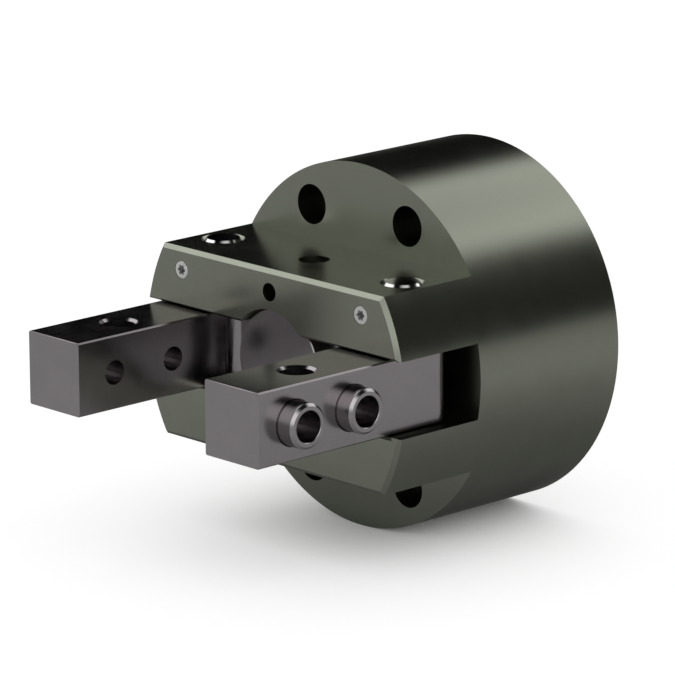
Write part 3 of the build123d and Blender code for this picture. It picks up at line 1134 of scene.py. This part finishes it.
@dataclass
class ClampScrews:
    """Two set screws with a six-lobed socket, which clamp the pins."""

    x: float = PIVOT_X
    z: float = CLAMP_Z
    tip_depth: float = 35.21
    end_depth: float = 40.28
    radius: float = 1.5
    chamfer: float = 0.2
    edge: float = 0.06
    mouth_radius: float = 1.23
    mouth_length: float = 0.3
    socket_radius: float = 0.50
    lobe_radius: float = 0.22
    socket_length: float = 2.2
    lobes: int = 6
    lobe_floor: float = 0.03

    def _screw(self) -> Piece:
        """Turn the left screw and cut its socket.

        Returns:
            The screw.
        """
        narrow = self.radius - self.chamfer
        profile = (
            (self.tip_depth, narrow),
            (self.tip_depth + self.chamfer, self.radius),
            (self.end_depth - self.mouth_length, self.radius),
            (self.end_depth - self.mouth_length, self.mouth_radius),
            (self.end_depth - self.edge, self.mouth_radius),
            (self.end_depth, self.mouth_radius - self.edge),
        )
        foot = point(-self.x, 0, self.z)
        piece = turned("clamp_screw_pair", Direction.FORWARD, foot, profile, sides=96)
        floor = self.end_depth - self.socket_length
        above = self.end_depth + PAST
        span = (floor, above)
        cut(piece, rod("socket", Direction.FORWARD, foot, span, self.socket_radius, 48))
        span = (floor + self.lobe_floor, above)
        for index in range(self.lobes):
            angle = 2 * math.pi * index / self.lobes
            place = foot + self.socket_radius * point(math.cos(angle), 0, math.sin(angle))
            cut(piece, rod("lobe", Direction.FORWARD, place, span, self.lobe_radius, 32))
        return piece

    def build(self) -> None:
        """Model and dress both screws as one piece."""
        screws = doubled(self._screw(), point(2 * self.x, 0, 0))
        finish_mesh(screws)
        hand_over(screws, "housing_body", ["pin_set_screws"], SCREW_STEEL.make())


@dataclass
class RearCover:
    """Cover of the cylinder and the sprung ring that holds it."""

    radius: float = 14.99
    start: float = 2.1
    end: float = 6.5
    seal_start: float = 3.2
    seal_end: float = 5.4
    seal_floor: float = 13.4
    edge: float = 0.2
    pull_x: float = 7.0
    pull_radius: float = 1.25
    pull_length: float = 2.5
    pull_chamfer: float = 0.25
    ring_start: float = 0.85
    ring_end: float = 2.05
    ring_outer: float = 15.55
    ring_inner: float = 13.45
    gap_half: float = 4.5
    eye_radius: float = 2.5
    eye_hole: float = 0.85

    def _cover(self) -> None:
        """Model and dress the cover."""
        profile = (
            (self.start, self.radius - self.edge),
            (self.start + self.edge, self.radius),
            (self.seal_start, self.radius),
            (self.seal_start, self.seal_floor),
            (self.seal_end, self.seal_floor),
            (self.seal_end, self.radius),
            (self.end, self.radius),
        )
        piece = turned("cylinder_cover", Direction.FORWARD, Vector(), profile, sides=192)
        cut(piece, bumper_seat(self.end - BUMPER_SEAT_LENGTH, self.end + PAST))
        pull = (
            (self.start - PAST, self.pull_radius + self.pull_chamfer + PAST),
            (self.start + self.pull_chamfer, self.pull_radius),
            (self.start + self.pull_length, self.pull_radius),
        )
        for x in (-self.pull_x, self.pull_x):
            cut(piece, turned("pull_hole", Direction.FORWARD, point(x, 0, 0), pull, sides=64))
        finish_mesh(piece)
        hand_over(piece, "housing_body", ["rear_cover"], COVER.make())

    def _ring(self) -> None:
        """Model and dress the retaining ring."""
        profile = (
            (self.ring_start, self.ring_inner),
            (self.ring_start, self.ring_outer),
            (self.ring_end, self.ring_outer),
            (self.ring_end, self.ring_inner),
        )
        piece = turned("snap_ring", Direction.FORWARD, Vector(), profile, sides=192, ring=True)
        gap = block(
            "gap_cutter",
            Vector((-self.gap_half, -self.ring_end - PAST, -self.ring_outer - PAST)) * MM,
            Vector((self.gap_half, 0.0, 0.0)) * MM,
        )
        cut(piece, gap)
        eye_x = self.gap_half + self.eye_radius
        eye_z = -math.sqrt((self.ring_outer - self.eye_radius) ** 2 - eye_x**2)
        disc = (self.ring_start, self.ring_end)
        hole = (self.ring_start - PAST, self.ring_end + PAST)
        forward = Direction.FORWARD
        for x in (-eye_x, eye_x):
            foot = point(x, 0, eye_z)
            combine(piece, rod("eye", forward, foot, disc, self.eye_radius, 64), Machining.JOIN)
            cut(piece, rod("eye_hole", forward, foot, hole, self.eye_hole, 48))
        finish_mesh(piece)
        hand_over(piece, "housing_body", ["retaining_ring"], SPRING_STEEL.make())

    def build(self) -> None:
        """Model and dress the cover and its ring."""
        self._cover()
        self._ring()


@dataclass
class InnerParts:
    """Pieces inside the housing, which keep their CAD shape and get their finishes."""

    finishes: tuple[tuple[str, Finish], ...] = (
        ("cover_seal", RUBBER),
        ("piston", BARE_ALUMINIUM),
        ("piston_seal", RUBBER),
        ("piston_guide_ring", GUIDE),
        ("piston_joint_seal", RUBBER),
        ("piston_screw", SCREW_STEEL),
        ("rod_seal", RUBBER),
        ("rod_bushing", BRONZE),
        ("front_bumper", BUMPER),
        ("rear_bumper", BUMPER),
    )

    def dress(self) -> None:
        """Give each piece the material of its finish."""
        made: dict[str, Material] = {}
        for node, finish in self.finishes:
            if finish.name not in made:
                made[finish.name] = finish.make()
            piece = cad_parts[node]
            if not piece.material_slots:
                piece.data.materials.append(made[finish.name])
            for slot in piece.material_slots:
                slot.material = made[finish.name]
            log.info("%s: dressed in %s", node, finish.name)


@dataclass(frozen=True)
class SoftBox:
    """One soft light panel of the sky; its sizes are angles in degrees."""

    azimuth: float
    elevation: float
    half_width: float
    half_height: float
    radiance: float
    blur: float

    def shine(self, bench: Bench, towards: Socket) -> Socket:
        """Radiance of the panel in each direction.

        Args:
            bench: The world's nodes.
            towards: Direction of a ray that leaves the scene.

        Returns:
            Output socket with the radiance.
        """
        middle, side, top = heading(self.azimuth, self.elevation)
        ahead = bench.dot(towards, middle)
        share = self.radiance
        for axis, half in ((side, self.half_width), (top, self.half_height)):
            offset = bench.math("ABSOLUTE", bench.math("ARCTAN2", bench.dot(towards, axis), ahead))
            start = math.radians(half - self.blur)
            end = math.radians(half + self.blur)
            mask = bench.spread(offset, start, end, 1.0, 0.0, smooth=True)
            share = bench.math("MULTIPLY", mask, share)
        return share


@dataclass
class Studio:
    """Pale floor, dark sky with soft light panels, overhead lamp and camera.

    The floor's half size and fade, the lamp's size and height, and the camera's nearest and
    farthest distance are in metres; angles are in degrees.
    """

    floor_height: float = -25.0
    floor_half: float = 4.0
    floor_colour: float = 0.86
    floor_mottle: float = 0.003
    # The floor's glow, which ambient occlusion dims near the gripper into a painted contact shadow
    floor_glow: float = 0.79
    painted_shadow_reach: float = 35.0
    painted_shadow_falloff: float = 2.3
    # Shares of the painted shadow's reach beyond its dark middle, and the painted floor tone that
    # mirrors show there
    painted_tone_reach: float = 100.0
    painted_floor_tones: tuple[Pair, ...] = (
        (0.0, 0.068),
        (0.01, 0.095),
        (0.04, 0.127),
        (0.07, 0.158),
        (0.10, 0.168),
        (0.19, 0.190),
        (0.26, 0.222),
        (0.37, 0.285),
        (0.60, 0.380),
        (0.85, 0.445),
        (1.0, 0.460),
    )
    # Middle and half sizes of the painted shadow in the floor's painted reflection, in millimetres
    shade_x: float = 1.0
    shade_half_x: float = 9.0
    shade_depth: float = 11.0
    shade_half_depth: float = 11.0
    overhead: float = 0.33
    overhead_size: float = 6.0
    overhead_height: float = 1.25
    haze: float = 0.42
    haze_height: float = 0.07
    boxes: tuple[SoftBox, ...] = (
        SoftBox(-74.5, 33.0, half_width=41.5, half_height=21.5, radiance=1.82, blur=3.0),
        SoftBox(180.4, 32.0, half_width=22.5, half_height=17.0, radiance=1.85, blur=6.0),
        SoftBox(62.0, 28.0, half_width=26.0, half_height=24.0, radiance=1.90, blur=10.0),
        SoftBox(138.0, 20.0, half_width=10.0, half_height=18.0, radiance=0.045, blur=8.0),
    )
    dark_side: tuple[float, float, float] = (-0.73, 0.68, 0.0)
    dark_share: float = 0.15
    # Where the floor's painted reflection is painted darker towards the far left
    painted_tone_fade: Pair = (0.03, 0.15)
    haze_fade: Pair = (0.2, 0.9)
    azimuth: float = 46.806
    elevation: float = 14.514
    roll: float = -0.344
    distance: float = 673.61
    shift_right: float = 2.3227
    shift_up: float = 2.3408
    lens: float = 270.4
    sensor_width: float = 36.0
    nearest: float = 0.01
    farthest: float = 50.0
    look_at_depth: float = 31.25

    def _fade(self, bench: Bench, place: Socket, low: float, high: float) -> Socket:
        """Share of light that is left towards the far left, where the studio is darker.

        Args:
            bench: Nodes that the share is added to.
            place: Direction, or place in metres.
            low: How far to the left behind the light starts to fade.
            high: Where it has faded.

        Returns:
            Output socket with the share.
        """
        return bench.spread(bench.dot(place, self.dark_side), low, high, 1.0, self.dark_share)

    def _floor(self) -> None:
        """Lay the floor, with painted shadow that dims its glow near the gripper, and a painted
        reflection for mirrors, darker near the gripper.
        """
        clear_selection()
        bpy.ops.mesh.primitive_plane_add(
            size=2 * self.floor_half, location=(0.0, 0.0, self.floor_height * MM)
        )
        floor = bpy.context.object
        floor.name = "studio_floor"
        bench = Bench("floor_paint_with_painted_shade")
        metres = bench.add("TexCoord").outputs["Object"]
        grey = bench.vary(bench.noise(metres, 3.0, 2.0), self.floor_colour, self.floor_mottle)
        paint = bench.add("BsdfDiffuse", {"Color": grey, "Roughness": 0.0}).outputs[0]
        # Painted contact shadow: the glow is dimmed where ambient occlusion finds the gripper near
        reach = {"Distance": self.painted_shadow_reach * MM}
        openness = bench.add("AmbientOcclusion", reach, samples=16).outputs["AO"]
        painted_contact_shade = bench.math("POWER", bench.math("SUBTRACT", 1.0, openness), self.painted_shadow_falloff)
        strength = bench.math("MULTIPLY", bench.math("SUBTRACT", 1.0, painted_contact_shade), self.floor_glow)
        glow = bench.add("Emission", {"Strength": strength}).outputs[0]
        lit = bench.add("AddShader", {0: paint, 1: glow}).outputs[0]

        # Mirrors see a painted reflection of the floor: a painted shadow, darkest over the gripper's
        # middle, and painted darker towards the far left
        parts = bench.add("SeparateXYZ", {0: metres})
        middle = point(self.shade_x, self.shade_depth, 0)
        squares = []
        for axis, half in ((0, self.shade_half_x), (1, self.shade_half_depth)):
            offset = bench.math("SUBTRACT", parts.outputs[axis], middle[axis])
            beyond = bench.math("SUBTRACT", bench.math("ABSOLUTE", offset), half * MM)
            squares.append(bench.math("POWER", bench.math("MAXIMUM", beyond, 0.0), 2.0))
        gap = bench.math("SQRT", bench.math("ADD", squares[0], squares[1]))
        share = bench.math("DIVIDE", gap, self.painted_tone_reach * MM)
        ramp = bench.add("ValToRGB", {0: share})
        elements = ramp.color_ramp.elements
        elements[0].position, elements[1].position = 0.0, 1.0
        for distance, _ in self.painted_floor_tones[1:-1]:
            elements.new(distance)
        for element, (_, tone) in zip(elements, self.painted_floor_tones):
            element.color = (tone, tone, tone, 1.0)
        left = self._fade(bench, metres, *self.painted_tone_fade)
        strength = bench.math("MULTIPLY", ramp.outputs[0], left)
        painted_reflection_shader = bench.add("Emission", {"Strength": strength}).outputs[0]
        glossy = bench.add("LightPath").outputs["Is Glossy Ray"]
        shader = bench.add("MixShader", {0: glossy, 1: lit, 2: painted_reflection_shader}).outputs[0]
        bench.add("OutputMaterial", {"Surface": shader})
        floor.data.materials.append(bench.owner)
        log.info("%s: laid", floor.name)

    def _world(self) -> None:
        """Make the sky: soft panels and a haze in mirror images, and white for the camera."""
        world = bpy.data.worlds.new("studio_sky")
        bpy.context.scene.world = world
        bench = Bench(world=world)
        towards = bench.add("TexCoord").outputs["Generated"]
        height = bench.add("SeparateXYZ", {0: towards}).outputs[2]
        level = bench.spread(height, 0.0, self.haze_height, self.haze, 0.0, smooth=True)
        total = bench.math("MULTIPLY", level, self._fade(bench, towards, *self.haze_fade))
        for box in self.boxes:
            total = bench.math("ADD", total, box.shine(bench, towards))
        studio = bench.add("Background", {"Strength": total}).outputs[0]
        backdrop = bench.add("Background", {"Color": (1.0, 1.0, 1.0, 1.0)}).outputs[0]
        seen = bench.add("LightPath").outputs["Is Camera Ray"]
        shader = bench.add("MixShader", {0: seen, 1: studio, 2: backdrop}).outputs[0]
        bench.add("OutputWorld", {"Surface": shader})
        world.cycles_visibility.diffuse = False

    def _overhead(self) -> None:
        """Hang the weak, broad lamp that lights the floor and stays out of mirror images."""
        clear_selection()
        place = point(0, self.look_at_depth, 0) + Vector((0.0, 0.0, self.overhead_height))
        bpy.ops.object.light_add(type="AREA", location=place)
        lamp = bpy.context.object
        lamp.name = "overhead_light"
        lamp.data.shape = "SQUARE"
        lamp.data.size = self.overhead_size
        lamp.data.energy = self.overhead * math.pi * self.overhead_size**2
        lamp.visible_glossy = False

    def _camera(self) -> None:
        """Place the camera as the photograph was taken."""
        roll = math.radians(self.roll)
        back, level, upright = heading(self.azimuth, self.elevation)
        right = level * math.cos(roll) + upright * math.sin(roll)
        above = upright * math.cos(roll) - level * math.sin(roll)
        target = point(0, self.look_at_depth, 0)
        away = back * self.distance + right * self.shift_right + above * self.shift_up
        data = bpy.data.cameras.new("studio_camera")
        data.lens = self.lens
        data.sensor_width = self.sensor_width
        data.clip_start = self.nearest
        data.clip_end = self.farthest
        camera = bpy.data.objects.new("studio_camera", data)
        bpy.context.collection.objects.link(camera)
        turn = Matrix((right, above, back)).transposed()
        camera.matrix_world = Matrix.Translation(target + away * MM) @ turn.to_4x4()
        bpy.context.scene.camera = camera

    def build(self) -> None:
        """Set up the floor, the sky and the camera."""
        self._floor()
        self._world()
        self._overhead()
        self._camera()
        bpy.context.scene.view_settings.view_transform = "Standard"


def main() -> None:
    """Build the gripper piece by piece, then the studio."""
    logging.basicConfig(level=logging.INFO, format="%(name)s: %(message)s")
    Housing().build()
    jaw_steel = JAW_STEEL.make()
    sleeve_steel = SLEEVE_STEEL.make()
    for side, side_name in SIDES:
        Jaw(side, side_name, jaw_steel, sleeve_steel).build()
    Plunger().build()
    PivotPins().build()
    ClampScrews().build()
    RearCover().build()
    InnerParts().dress()
    Studio().build()


if __name__ == "__main__":
    main()
